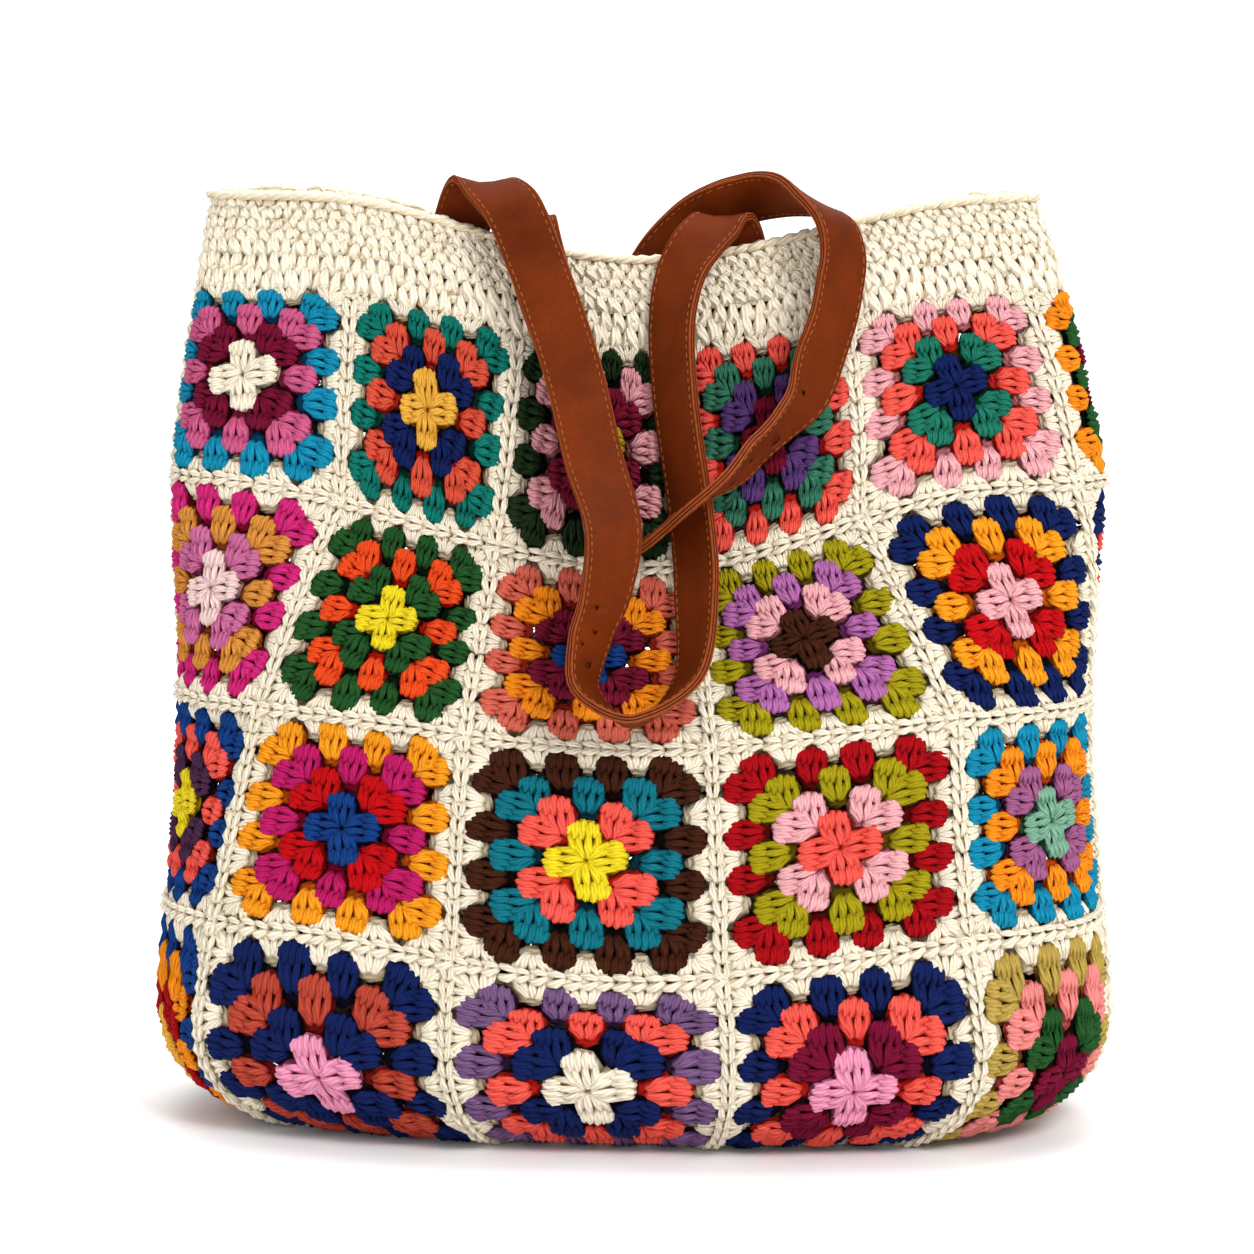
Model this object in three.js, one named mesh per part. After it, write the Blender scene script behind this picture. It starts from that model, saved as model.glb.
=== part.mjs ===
// A soft crochet tote: forty granny squares round a rounded oblong foot, a single-crochet band at
// the mouth, a chain edge on the band and two leather straps thrown over the front.
// Millimetres, +Z up. The bag's front looks along -Y and the origin is in the middle under the bag.
import * as THREE from 'three';

// The bag
const bagWidth = 421;
const bagDepth = 200;
const bagHeight = 408;
const wallThickness = 5;
const footHeight = 49; // where the wall begins to turn under the bag
const footInsetX = 60; // how far the turn goes in at the bag's two ends
const footInsetY = 45; // and at its front and back
const pieceGap = 0.3; // between pieces that are crocheted together

// The mouth
const bandHeight = 39;
const rimWidth = 8;
const rimHeight = 5.5;

// The straps
const strapWidth = 25;
const strapThickness = 4;
const seatGap = 1; // between a strap and the chain edge beside it

// How finely each piece is divided
const squareSteps = 6;
const bandSteps = 4;
const strapSteps = 72;
const outlineSteps = 240;

const squaresHeight = bagHeight - bandHeight;

// Sections of the wall from the rim down, one at each seam between the rows. height: share of the
// squares' height. sag, backSag and dent: shares of the bag's height, how much lower the middle of
// the front and back hang and how far the front's middle is pushed in. width and lean: shares of
// half the bag's width. depth: share of half its depth. square: 2 is an ellipse, more is boxier.
// skew: how much more open the left end is than the right one. reach: how far to the left of its
// lowest place the wall sags, share of half the bag's width.
const LEVELS = [
  {
    height: bagHeight / squaresHeight, sag: 0.066, backSag: 0.085, dent: 0.01,
    width: 0.85, lean: -0.02, depth: 0.2, square: 3, skew: 0.3, reach: 0.7,
  },
  {
    height: 1, sag: 0.06, backSag: 0.07, dent: 0.008,
    width: 0.9, lean: -0.005, depth: 0.3, square: 2.6, skew: 0.2, reach: 0.72,
  },
  {
    height: 0.774, sag: 0.085, backSag: 0.05, dent: 0,
    width: 0.97, lean: 0.01, depth: 0.53, square: 2.3, skew: 0.1, reach: 0.92,
  },
  {
    height: 0.514, sag: 0.03, backSag: 0.03, dent: 0,
    width: 0.953, lean: 0.002, depth: 0.84, square: 2.4, skew: 0, reach: 0.8,
  },
  {
    height: 0.262, sag: 0.042, backSag: 0.03, dent: 0,
    width: 0.981, lean: 0.003, depth: 0.97, square: 2.6, skew: 0, reach: 0.8,
  },
];
const sagCentre = 0.04; // where the front hangs lowest, share of half the width
const sagReach = 0.78; // how far to the right of there it sags, share of half the width
const squareRows = LEVELS.length - 1;
const footRow = squareRows + 1; // the line where the squares meet the base panel
const footWallPart = 0.35; // share of the bottom squares that still goes straight down

// The seam on the right of each column of squares, as shares of the way round the bag from the
// front's middle: at the rim, at the top of each row of squares and at the foot.
const SEAM_LINES = ['rim', 'first', 'second', 'third', 'fourth', 'foot'];
const SEAMS = [
  { column: 1, rim: -0.15, first: -0.147, second: -0.139, third: -0.166, fourth: -0.178, foot: -0.19 },
  { column: 2, rim: -0.056, first: -0.055, second: -0.063, third: -0.067, fourth: -0.068, foot: -0.069 },
  { column: 3, rim: 0.026, first: 0.027, second: 0.031, third: 0.043, fourth: 0.046, foot: 0.05 },
  { column: 4, rim: 0.123, first: 0.122, second: 0.113, third: 0.152, fourth: 0.148, foot: 0.157 },
  { column: 5, rim: 0.221, first: 0.219, second: 0.22, third: 0.246, fourth: 0.243, foot: 0.246 },
  { column: 6, rim: 0.334, first: 0.334, second: 0.338, third: 0.34, fourth: 0.34, foot: 0.34 },
  { column: 7, rim: 0.435, first: 0.436, second: 0.438, third: 0.44, fourth: 0.44, foot: 0.44 },
  { column: 8, rim: 0.536, first: 0.537, second: 0.539, third: 0.54, fourth: 0.54, foot: 0.54 },
  { column: 9, rim: 0.637, first: 0.638, second: 0.639, third: 0.64, fourth: 0.64, foot: 0.64 },
  { column: 10, rim: 0.738, first: 0.74, second: 0.745, third: 0.748, fourth: 0.745, foot: 0.74 },
];

// A strap's middle line, from one sewn end to the other. wall: -1 measures from the front wall, 1
// from the back one. across: share of half the bag's width. up: share of its height. out: from the
// wall's outer face. turn and rise: where the strap's near edge points, in degrees round from
// straight at the viewer, and up.
const inside = -(wallThickness + rimWidth) / 2 - seatGap - strapThickness / 2;
const overRim = -wallThickness / 2;
const FRONT_STRAP = [
  { wall: -1, across: -0.355, up: 0.86, out: inside, turn: -87, rise: 0 },
  { wall: -1, across: -0.347, up: 0.963, out: inside - 2, turn: -87, rise: 0 },
  { wall: -1, across: -0.305, up: 1.008, out: overRim, turn: -90, rise: 0 },
  { wall: -1, across: -0.233, up: 0.991, out: 13, turn: -90, rise: 0 },
  { wall: -1, across: -0.176, up: 0.931, out: 19, turn: -90, rise: 0 },
  { wall: -1, across: -0.095, up: 0.824, out: 25, turn: -88, rise: 0 },
  { wall: -1, across: -0.043, up: 0.733, out: 34, turn: -80, rise: 0 },
  { wall: -1, across: 0.002, up: 0.665, out: 42, turn: -62, rise: 0 },
  { wall: -1, across: -0.011, up: 0.6, out: 42, turn: -47, rise: 0 },
  { wall: -1, across: -0.04, up: 0.554, out: 37, turn: -36, rise: 0 },
  { wall: -1, across: -0.046, up: 0.507, out: 31, turn: -18, rise: 8 },
  { wall: -1, across: 0.045, up: 0.473, out: 25, turn: 0, rise: 15 },
  { wall: -1, across: 0.151, up: 0.51, out: 20, turn: 26, rise: 8 },
  { wall: -1, across: 0.162, up: 0.602, out: 15, turn: 44, rise: 0 },
  { wall: -1, across: 0.146, up: 0.674, out: 12, turn: 47, rise: 0 },
  { wall: -1, across: 0.109, up: 0.794, out: 12, turn: 48, rise: 0 },
  { wall: -1, across: 0.1, up: 0.872, out: 13, turn: 50, rise: 0 },
  { wall: -1, across: 0.119, up: 0.925, out: 12, turn: 60, rise: 0 },
  { wall: -1, across: 0.162, up: 0.96, out: 6, turn: 80, rise: 0 },
  { wall: -1, across: 0.2, up: 0.972, out: overRim, turn: 90, rise: 0 },
  { wall: -1, across: 0.226, up: 0.935, out: inside - 1.5, turn: 88, rise: 0 },
  { wall: -1, across: 0.23, up: 0.82, out: inside, turn: 88, rise: 0 },
];
const BACK_STRAP = [
  { wall: 1, across: 0.024, up: 0.82, out: inside, turn: -90, rise: 0 },
  { wall: 1, across: 0.043, up: 0.91, out: inside - 1, turn: -88, rise: 12 },
  { wall: 1, across: 0.119, up: 0.961, out: inside - 1, turn: -70, rise: 42 },
  { wall: 1, across: 0.188, up: 0.985, out: -18, turn: -45, rise: 52 },
  { wall: -1, across: 0.247, up: 0.996, out: -14, turn: -20, rise: 52 },
  { wall: -1, across: 0.313, up: 1.001, out: -4, turn: -10, rise: 42 },
  { wall: -1, across: 0.36, up: 0.997, out: 5, turn: -10, rise: 24 },
  { wall: -1, across: 0.396, up: 0.989, out: 13, turn: -15, rise: 5 },
  { wall: -1, across: 0.43, up: 0.972, out: 18, turn: -32, rise: 0 },
  { wall: -1, across: 0.446, up: 0.941, out: 18, turn: -42, rise: 0 },
  { wall: -1, across: 0.439, up: 0.907, out: 18, turn: -46, rise: 0 },
  { wall: -1, across: 0.428, up: 0.876, out: 18, turn: -46, rise: 0 },
  { wall: -1, across: 0.403, up: 0.837, out: 19, turn: -48, rise: 0 },
  { wall: -1, across: 0.379, up: 0.799, out: 21, turn: -40, rise: 0 },
  { wall: -1, across: 0.333, up: 0.77, out: 26, turn: -27, rise: 0 },
  { wall: -1, across: 0.285, up: 0.745, out: 31, turn: -22, rise: 0 },
  { wall: -1, across: 0.236, up: 0.72, out: 38, turn: -18, rise: 0 },
  { wall: -1, across: 0.187, up: 0.7, out: 40, turn: -10, rise: 0 },
  { wall: -1, across: 0.112, up: 0.668, out: 25, turn: 0, rise: 0 },
  { wall: -1, across: 0.05, up: 0.642, out: 16, turn: 0, rise: 0 },
  { wall: -1, across: 0.002, up: 0.63, out: 14, turn: 0, rise: 0 },
  { wall: -1, across: -0.033, up: 0.645, out: 14, turn: 8, rise: 0 },
  { wall: -1, across: -0.045, up: 0.69, out: 13, turn: 35, rise: 0 },
  { wall: -1, across: -0.062, up: 0.735, out: 11, turn: 65, rise: 0 },
  { wall: -1, across: -0.1, up: 0.818, out: 9, turn: 88, rise: 0 },
  { wall: -1, across: -0.165, up: 0.905, out: 7, turn: 90, rise: 0 },
  { wall: -1, across: -0.19, up: 0.95, out: 6, turn: 90, rise: 0 },
  { wall: -1, across: -0.206, up: 0.973, out: overRim, turn: 90, rise: 0 },
  { wall: 1, across: -0.222, up: 0.955, out: -17, turn: 90, rise: 0 },
  { wall: 1, across: -0.232, up: 0.91, out: inside - 1, turn: 90, rise: 0 },
  { wall: 1, across: -0.236, up: 0.82, out: inside, turn: 90, rise: 0 },
];

const cream = 0xf3ecdd;
const leather = 0x8b3f18;
// The colour of each square's fourth round, a list for each row of squares, by column.
const SQUARE_COLOURS = [
  [0x1796ba, 0x0e7b6e, 0x1f3319, 0xf0574b, 0xf4b1b8, 0xf7921e, 0xde6c58, 0x5b3a75, 0xfba21f, 0x3d8c6e],
  [0xd62a7c, 0x2c5a2b, 0xde6c58, 0xa8980f, 0x0b2253, 0x0e2b5c, 0x7e0d2c, 0x1796ba, 0xf3a8ae, 0xf58a18],
  [0x0e3f83, 0xfba21f, 0x4a220f, 0xb00713, 0x0c93b6, 0x1d5a2a, 0xd0709f, 0xb8b020, 0x0f7787, 0xe0573f],
  [0x124a8c, 0x0e2b5c, 0x7b5a85, 0x0b1c48, 0xbfa24f, 0x2c5a2b, 0xfd6650, 0x1b4e1d, 0xc21b68, 0x12418b],
];

// A smooth curve through one column of LEVELS, at a place that may lie between its rows.
function levelValue(name, row) {
  const last = LEVELS.length - 1;
  const at = Math.min(Math.max(row, 0), last);
  const i = Math.min(Math.floor(at), last - 1);
  const t = at - i;
  const value = (k) => LEVELS[Math.min(Math.max(k, 0), last)][name];
  const slope = (k) => (value(k + 1) - value(k - 1)) / (k > 0 && k < last ? 2 : 1);
  const t2 = t * t;
  const t3 = t2 * t;
  return (2 * t3 - 3 * t2 + 1) * value(i) + (t3 - 2 * t2 + t) * slope(i)
    + (3 * t2 - 2 * t3) * value(i + 1) + (t3 - t2) * slope(i + 1);
}

// The wall's section at a row, inward millimetres inside its outer face. The last row goes down
// the wall and then through the turn to the floor.
function sectionAt(row, inward = 0) {
  const section = {};
  for (const name of Object.keys(LEVELS[0])) {
    section[name] = levelValue(name, row);
  }
  section.height *= squaresHeight;
  section.halfWidth = section.width * bagWidth / 2;
  section.halfDepth = section.depth * bagDepth / 2;
  section.hang = 1;
  const way = Math.max(row - squareRows, 0);
  const down = Math.min(way / footWallPart, 1);
  const turn = Math.max((way - footWallPart) / (1 - footWallPart), 0) * Math.PI / 2;
  const widening = down * (2 - down);
  const inset = 1 - Math.cos(turn);
  section.height += (footHeight - section.height) * down - footHeight * Math.sin(turn);
  section.halfWidth += (bagWidth / 2 - section.halfWidth) * widening - footInsetX * inset;
  section.halfDepth += (bagDepth / 2 - section.halfDepth) * widening - footInsetY * inset;
  section.hang = 1 - down * down * (3 - 2 * down);
  section.height += inward * Math.sin(turn);
  section.halfWidth -= inward * Math.cos(turn);
  section.halfDepth -= inward * Math.cos(turn);
  return section;
}

// A section's plain outline as points round from the front's middle by way of +X, each with the
// length of the way to it.
function outlineOf(section) {
  const points = [];
  let way = 0;
  for (let k = 0; k <= outlineSteps; k += 1) {
    const angle = (k / outlineSteps - 0.25) * 2 * Math.PI;
    const boxy = (value) => Math.sign(value) * Math.abs(value) ** (2 / section.square);
    const across = boxy(Math.cos(angle));
    const x = across * section.halfWidth;
    const y = boxy(Math.sin(angle)) * (1 - section.skew * across) * section.halfDepth;
    way += k > 0 ? Math.hypot(x - points[k - 1].x, y - points[k - 1].y) : 0;
    points.push({ x, y, way });
  }
  return points;
}

// Moves a point of the plain outline to where the soft wall really is: leaning, sagging, dented.
function settle(section, x, y) {
  const aside = x / (bagWidth / 2) - sagCentre;
  const away = Math.min(Math.abs(aside) / (aside < 0 ? section.reach : sagReach), 1);
  const middle = Math.cos(away * Math.PI / 2) ** 2;
  const front = 0.5 - 0.5 * Math.tanh(3 * y / section.halfDepth);
  const sag = section.sag * front + section.backSag * (1 - front);
  return new THREE.Vector3(
    x + section.lean * bagWidth / 2,
    y + section.dent * bagHeight * middle * front,
    section.height - sag * bagHeight * middle * section.hang,
  );
}

// The point of a section that lies share of the way round.
function pointOf(section, outline, share) {
  const target = (share - Math.floor(share)) * outline[outlineSteps].way;
  const next = Math.max(outline.findIndex((point) => point.way > target), 1);
  const [a, b] = [outline[next - 1], outline[next]];
  const t = (target - a.way) / (b.way - a.way);
  return settle(section, a.x + (b.x - a.x) * t, a.y + (b.y - a.y) * t);
}

// Points of the wall at many shares of one row.
function wallLine(shares, row, inward) {
  const section = sectionAt(row, inward);
  const outline = outlineOf(section);
  return shares.map((share) => pointOf(section, outline, share));
}

// Where the seam on the right of a column lies at a row. Column 0 is the last one, a turn earlier.
function seamShare(column, row) {
  const turns = Math.floor((column - 1) / SEAMS.length);
  const seam = SEAMS[column - 1 - turns * SEAMS.length];
  const line = Math.min(Math.floor(row), squareRows);
  const above = seam[SEAM_LINES[line]];
  const below = seam[SEAM_LINES[line + 1]];
  return above + (below - above) * (row - line) + turns;
}

function between(from, to, steps) {
  return Array.from({ length: steps + 1 }, (_, k) => from + (to - from) * k / steps);
}

// The shares of one column's points at a row, gap millimetres clear of the seams at both sides.
function columnShares(column, row, gap) {
  const clear = gap / outlineOf(sectionAt(row))[outlineSteps].way;
  return between(seamShare(column - 1, row) + clear, seamShare(column, row) - clear, squareSteps);
}

// The shares of all the columns' points at a row, all the way round.
function roundShares(row) {
  return SEAMS.flatMap(({ column }) => columnShares(column, row, 0).slice(0, squareSteps));
}

// How much of a row a length of wall takes at the front's middle.
function rowPart(row, length) {
  const step = 0.01;
  const from = Math.min(Math.max(row, step), footRow - step);
  const [above] = wallLine([0], from - step, 0);
  const [below] = wallLine([0], from + step, 0);
  return length * 2 * step / above.distanceTo(below);
}

function geometryOf(points, index) {
  const geometry = new THREE.BufferGeometry();
  const positions = points.flatMap((point) => point.toArray());
  geometry.setAttribute('position', new THREE.Float32BufferAttribute(positions, 3));
  geometry.setIndex(index);
  geometry.computeVertexNormals();
  return geometry;
}

// A closed solid from rings of points. The rings follow one another and either meet end to end or
// are closed by flat ends.
function solidOfRings(rings, endless) {
  const size = rings[0].length;
  const index = [];
  for (let i = 0; i < rings.length - (endless ? 0 : 1); i += 1) {
    const a = i * size;
    const b = (i + 1) % rings.length * size;
    for (let j = 0; j < size; j += 1) {
      const k = (j + 1) % size;
      index.push(a + j, a + k, b + k, a + j, b + k, b + j);
    }
  }
  const last = (rings.length - 1) * size;
  for (let j = 1; !endless && j < size - 1; j += 1) {
    index.push(0, j + 1, j, last, last + j, last + j + 1);
  }
  return geometryOf(rings.flat(), index);
}

// A curved slab from the lines of its outer face and of its inner face, from the top down.
function slab(outer, inner) {
  const across = outer[0].length;
  const face = outer.length * across;
  const index = [];
  const quad = (a, b, c, d) => index.push(a, b, c, a, c, d);
  for (let i = 0; i < outer.length - 1; i += 1) {
    for (let j = 0; j < across - 1; j += 1) {
      const a = i * across + j;
      quad(a, a + across, a + across + 1, a + 1);
      quad(face + a, face + a + 1, face + a + across + 1, face + a + across);
    }
    const left = i * across;
    const right = left + across - 1;
    quad(left, face + left, face + left + across, left + across);
    quad(right, right + across, face + right + across, face + right);
  }
  for (let j = 0; j < across - 1; j += 1) {
    const foot = face - across + j;
    quad(j, j + 1, face + j + 1, face + j);
    quad(foot, face + foot, face + foot + 1, foot + 1);
  }
  return geometryOf([...outer, ...inner].flat(), index);
}

// One granny square: the wall between two seams across and two seams down.
function grannySquare(squareRow, column) {
  const halfGap = pieceGap / 2;
  const top = squareRow + rowPart(squareRow, halfGap);
  const foot = squareRow === squareRows ? footRow : squareRow + 1 - rowPart(squareRow + 1, halfGap);
  const rows = between(top, foot, squareSteps);
  const face = (inward) => rows.map((row) => wallLine(columnShares(column, row, halfGap), row, inward));
  return slab(face(0), face(wallThickness));
}

// The row where the band ends under the chain edge.
const bandTop = rowPart(0, rimHeight);

function band() {
  const halfGap = pieceGap / 2;
  const rows = between(bandTop + rowPart(0, halfGap), 1 - rowPart(1, halfGap), bandSteps);
  const outer = rows.map((row) => wallLine(roundShares(row), row, 0));
  const inner = rows.map((row) => wallLine(roundShares(row), row, wallThickness));
  const rings = outer[0].map((_, j) => [
    ...outer.map((line) => line[j]),
    ...inner.map((line) => line[j]).reverse(),
  ]);
  return solidOfRings(rings, true);
}

// The chain edge, a soft six-sided ring on top of the band.
function rimEdge() {
  const shares = roundShares(0);
  const middle = wallThickness / 2;
  const shoulder = rimWidth / 3;
  const half = rimWidth / 2;
  const foot = bandTop - rowPart(0, pieceGap / 2);
  const lines = [
    wallLine(shares, 0, middle - shoulder),
    wallLine(shares, foot / 2, middle - half),
    wallLine(shares, foot, middle - shoulder),
    wallLine(shares, foot, middle + shoulder),
    wallLine(shares, foot / 2, middle + half),
    wallLine(shares, 0, middle + shoulder),
  ];
  return solidOfRings(shares.map((_, j) => lines.map((line) => line[j])), true);
}

// The flat oval under the bag, inside the line where the squares end.
function basePanel() {
  const section = sectionAt(footRow);
  section.halfWidth -= pieceGap;
  section.halfDepth -= pieceGap;
  const outline = outlineOf(section);
  const line = roundShares(footRow).map((share) => pointOf(section, outline, share));
  const lift = new THREE.Vector3(0, 0, wallThickness);
  return solidOfRings([line, line.map((point) => point.clone().add(lift))], false);
}

// The wall's outer face at x and z, on the front for wall -1 and on the back for wall 1.
function faceY(wall, x, z) {
  let [above, below] = [0, footRow];
  let point;
  for (let k = 0; k < 24; k += 1) {
    const row = (above + below) / 2;
    const section = sectionAt(row);
    const across = (x - section.lean * bagWidth / 2) / section.halfWidth;
    const deep = (1 - Math.abs(across) ** section.square) ** (1 / section.square);
    const y = wall * deep * (1 - section.skew * across) * section.halfDepth;
    point = settle(section, across * section.halfWidth, y);
    if (point.z > z) above = row;
    else below = row;
  }
  return point.y;
}

// A flat strap along the rows of a table. Its near edge points where the table says.
function strap(rows) {
  const places = rows.map(({ wall, across, up, out }) => {
    const x = across * bagWidth / 2;
    const z = up * bagHeight;
    return new THREE.Vector3(x, faceY(wall, x, z) + wall * out, z);
  });
  const edges = rows.map(({ turn, rise }) => {
    const round = THREE.MathUtils.degToRad(turn);
    const up = THREE.MathUtils.degToRad(rise);
    const level = Math.cos(up);
    return new THREE.Vector3(Math.sin(round) * level, -Math.cos(round) * level, Math.sin(up));
  });
  const line = new THREE.CatmullRomCurve3(places, false, 'centripetal');
  const edgeLine = new THREE.CatmullRomCurve3(edges, false, 'centripetal');
  const rings = between(0, 1, strapSteps).map((share) => {
    const t = line.getUtoTmapping(share);
    const middle = line.getPoint(t);
    const along = line.getTangent(t);
    const edge = edgeLine.getPoint(t);
    edge.addScaledVector(along, -edge.dot(along)).setLength(strapWidth / 2);
    const grain = edge.clone().cross(along).setLength(strapThickness / 2);
    const corner = (side, face) => middle.clone().addScaledVector(edge, side).addScaledVector(grain, face);
    return [corner(1, 1), corner(1, -1), corner(-1, -1), corner(-1, 1)];
  });
  return solidOfRings(rings, false);
}

function piece(name, geometry, colour, roughness) {
  const material = new THREE.MeshStandardMaterial({ color: colour, roughness, metalness: 0 });
  const mesh = new THREE.Mesh(geometry, material);
  mesh.name = name;
  return mesh;
}

const bag = new THREE.Group();
for (let row = 1; row <= squareRows; row += 1) {
  for (const { column } of SEAMS) {
    const name = `square_r${row}_c${String(column).padStart(2, '0')}`;
    bag.add(piece(name, grannySquare(row, column), SQUARE_COLOURS[row - 1][column - 1], 0.85));
  }
}
bag.add(piece('base_panel', basePanel(), cream, 0.85));
bag.add(piece('top_band', band(), cream, 0.85));
bag.add(piece('rim_edge', rimEdge(), cream, 0.85));
bag.add(piece('front_handle', strap(FRONT_STRAP), leather, 0.5));
bag.add(piece('back_handle', strap(BACK_STRAP), leather, 0.5));

export default bag;
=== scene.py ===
import math

import bpy
import numpy as np
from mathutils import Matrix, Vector


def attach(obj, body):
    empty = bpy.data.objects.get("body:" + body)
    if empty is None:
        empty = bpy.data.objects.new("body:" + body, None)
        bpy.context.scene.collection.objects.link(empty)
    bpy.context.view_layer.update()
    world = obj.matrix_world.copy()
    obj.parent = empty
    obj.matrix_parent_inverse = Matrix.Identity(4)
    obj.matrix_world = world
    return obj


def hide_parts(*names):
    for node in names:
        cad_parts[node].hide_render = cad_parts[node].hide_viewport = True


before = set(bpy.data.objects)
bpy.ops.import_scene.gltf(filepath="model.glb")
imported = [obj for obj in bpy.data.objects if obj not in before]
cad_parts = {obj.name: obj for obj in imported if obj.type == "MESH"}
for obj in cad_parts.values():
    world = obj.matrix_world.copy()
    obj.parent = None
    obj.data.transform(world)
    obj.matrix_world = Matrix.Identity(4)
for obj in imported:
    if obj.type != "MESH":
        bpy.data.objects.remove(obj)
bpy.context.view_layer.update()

# THE GRANNY SQUARES
# Forty squares crocheted in worsted cotton, each from its middle outwards in five rounds, the last
# one always cream. A round is made of clusters of three treble stitches, worked into the gaps of
# the round before it, and each cluster shows as a plump petal of slanting strands.
MM = 0.001
BAG_WIDTH = 0.421
BAG_DEPTH = 0.200
BAG_HEIGHT = 0.408
SQUARES_HEIGHT = 0.369
FOOT_HEIGHT = 0.049
FOOT_INSET_X = 0.060
FOOT_INSET_Y = 0.045
FOOT_WALL_PART = 0.35
SAG_CENTRE = 0.04
SAG_REACH = 0.78
WALL_MIDDLE = -0.0025
# Sections of the wall from the rim down, one at each seam between the rows of squares. height is a
# share of the squares' height, width and depth are shares of the bag's, sag, back_sag and dent are
# shares of its height, and lean is a share of half its width. square says how boxy the section is,
# skew how much deeper its left side, and reach how far the sag goes to the left.
LEVELS = [
    {
        "height": BAG_HEIGHT / SQUARES_HEIGHT, "sag": 0.066, "back_sag": 0.085, "dent": 0.01,
        "width": 0.85, "lean": -0.02, "depth": 0.2, "square": 3, "skew": 0.3, "reach": 0.7,
    },
    {
        "height": 1, "sag": 0.06, "back_sag": 0.07, "dent": 0.008,
        "width": 0.9, "lean": -0.005, "depth": 0.3, "square": 2.6, "skew": 0.2, "reach": 0.72,
    },
    {
        "height": 0.774, "sag": 0.085, "back_sag": 0.05, "dent": 0,
        "width": 0.97, "lean": 0.01, "depth": 0.53, "square": 2.3, "skew": 0.1, "reach": 0.92,
    },
    {
        "height": 0.514, "sag": 0.03, "back_sag": 0.03, "dent": 0,
        "width": 0.953, "lean": 0.002, "depth": 0.84, "square": 2.4, "skew": 0, "reach": 0.8,
    },
    {
        "height": 0.262, "sag": 0.042, "back_sag": 0.03, "dent": 0,
        "width": 0.981, "lean": 0.003, "depth": 0.97, "square": 2.6, "skew": 0, "reach": 0.8,
    },
]
SQUARE_ROWS = 4
FOOT_ROW = 5
# The seams on the right of the ten columns, at each section: shares of the way round from the
# front's middle.
SEAMS = {
    "rim": [-0.15, -0.056, 0.026, 0.123, 0.221, 0.334, 0.435, 0.536, 0.637, 0.738],
    "first": [-0.147, -0.055, 0.027, 0.122, 0.219, 0.334, 0.436, 0.537, 0.638, 0.74],
    "second": [-0.139, -0.063, 0.031, 0.113, 0.22, 0.338, 0.438, 0.539, 0.639, 0.745],
    "third": [-0.166, -0.067, 0.043, 0.152, 0.246, 0.34, 0.44, 0.54, 0.64, 0.748],
    "fourth": [-0.178, -0.068, 0.046, 0.148, 0.243, 0.34, 0.44, 0.54, 0.64, 0.745],
    "foot": [-0.19, -0.069, 0.05, 0.157, 0.246, 0.34, 0.44, 0.54, 0.64, 0.74],
}
COLUMNS = len(SEAMS["rim"])
YARNS = {
    "cream": "fff3dc", "burgundy": "7a0c33", "rose": "d2608c", "turquoise": "1390b4", "gold": "f0b545",
    "navy": "10215a", "rust": "e0573f", "pine": "0e7b6e", "olive": "aa9c12", "maroon": "7a1330",
    "blush": "e8a3a9", "bottle": "1f3319", "wine": "6e0a22", "purple": "5b3a75", "sea_green": "3a7a60",
    "coral": "f85f52", "emerald": "1f7a63", "shell": "f5b4b9", "forest": "245626", "orange": "f9941c",
    "pale_pink": "fbdad5", "orchid": "d0709f", "tan": "dd9440", "magenta": "d62a7c", "lemon": "f6de28",
    "vermilion": "f0521f", "royal": "123f84", "salmon": "de6c58", "chocolate": "45200f",
    "lilac": "b96fae", "red": "c60812", "crimson": "ad0713", "plum": "4b2948", "deep_pink": "c21b68",
    "marigold": "fba21f", "teal": "0f7787", "sage": "82b398", "mauve": "a8628f", "candy": "f79fc0",
    "terracotta": "bf4a38", "straw": "bfa24f", "dusk": "7b5a85", "peach": "f38f8a",
}
# The yarns of each square from its middle to its fourth round.
SQUARES = {
    "r1_c01": "cream burgundy rose turquoise",
    "r1_c02": "gold navy rust pine",
    "r1_c03": "olive maroon blush bottle",
    "r1_c04": "wine purple sea_green coral",
    "r1_c05": "navy emerald coral shell",
    "r1_c06": "sage maroon forest orange",
    "r1_c07": "lemon navy turquoise salmon",
    "r1_c08": "shell red olive purple",
    "r1_c09": "chocolate magenta teal marigold",
    "r1_c10": "shell navy rose sea_green",
    "r2_c01": "pale_pink orchid tan magenta",
    "r2_c02": "lemon forest vermilion forest",
    "r2_c03": "royal maroon orange salmon",
    "r2_c04": "chocolate shell lilac olive",
    "r2_c05": "shell red marigold navy",
    "r2_c06": "lemon magenta coral navy",
    "r2_c07": "cream teal coral burgundy",
    "r2_c08": "coral lemon purple turquoise",
    "r2_c09": "navy emerald orange shell",
    "r2_c10": "royal rose forest orange",
    "r3_c01": "lemon plum coral royal",
    "r3_c02": "royal red deep_pink marigold",
    "r3_c03": "lemon coral teal chocolate",
    "r3_c04": "coral shell olive crimson",
    "r3_c05": "sage mauve orange turquoise",
    "r3_c06": "coral navy orange forest",
    "r3_c07": "lemon royal sage orchid",
    "r3_c08": "wine coral navy olive",
    "r3_c09": "pale_pink vermilion gold teal",
    "r3_c10": "turquoise shell purple rust",
    "r4_c01": "gold crimson orange royal",
    "r4_c02": "candy navy terracotta navy",
    "r4_c03": "cream navy coral dusk",
    "r4_c04": "candy burgundy coral navy",
    "r4_c05": "burgundy forest peach straw",
    "r4_c06": "shell navy orange forest",
    "r4_c07": "forest lilac navy coral",
    "r4_c08": "marigold magenta shell forest",
    "r4_c09": "cream teal lemon deep_pink",
    "r4_c10": "red sage tan royal",
}


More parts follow.
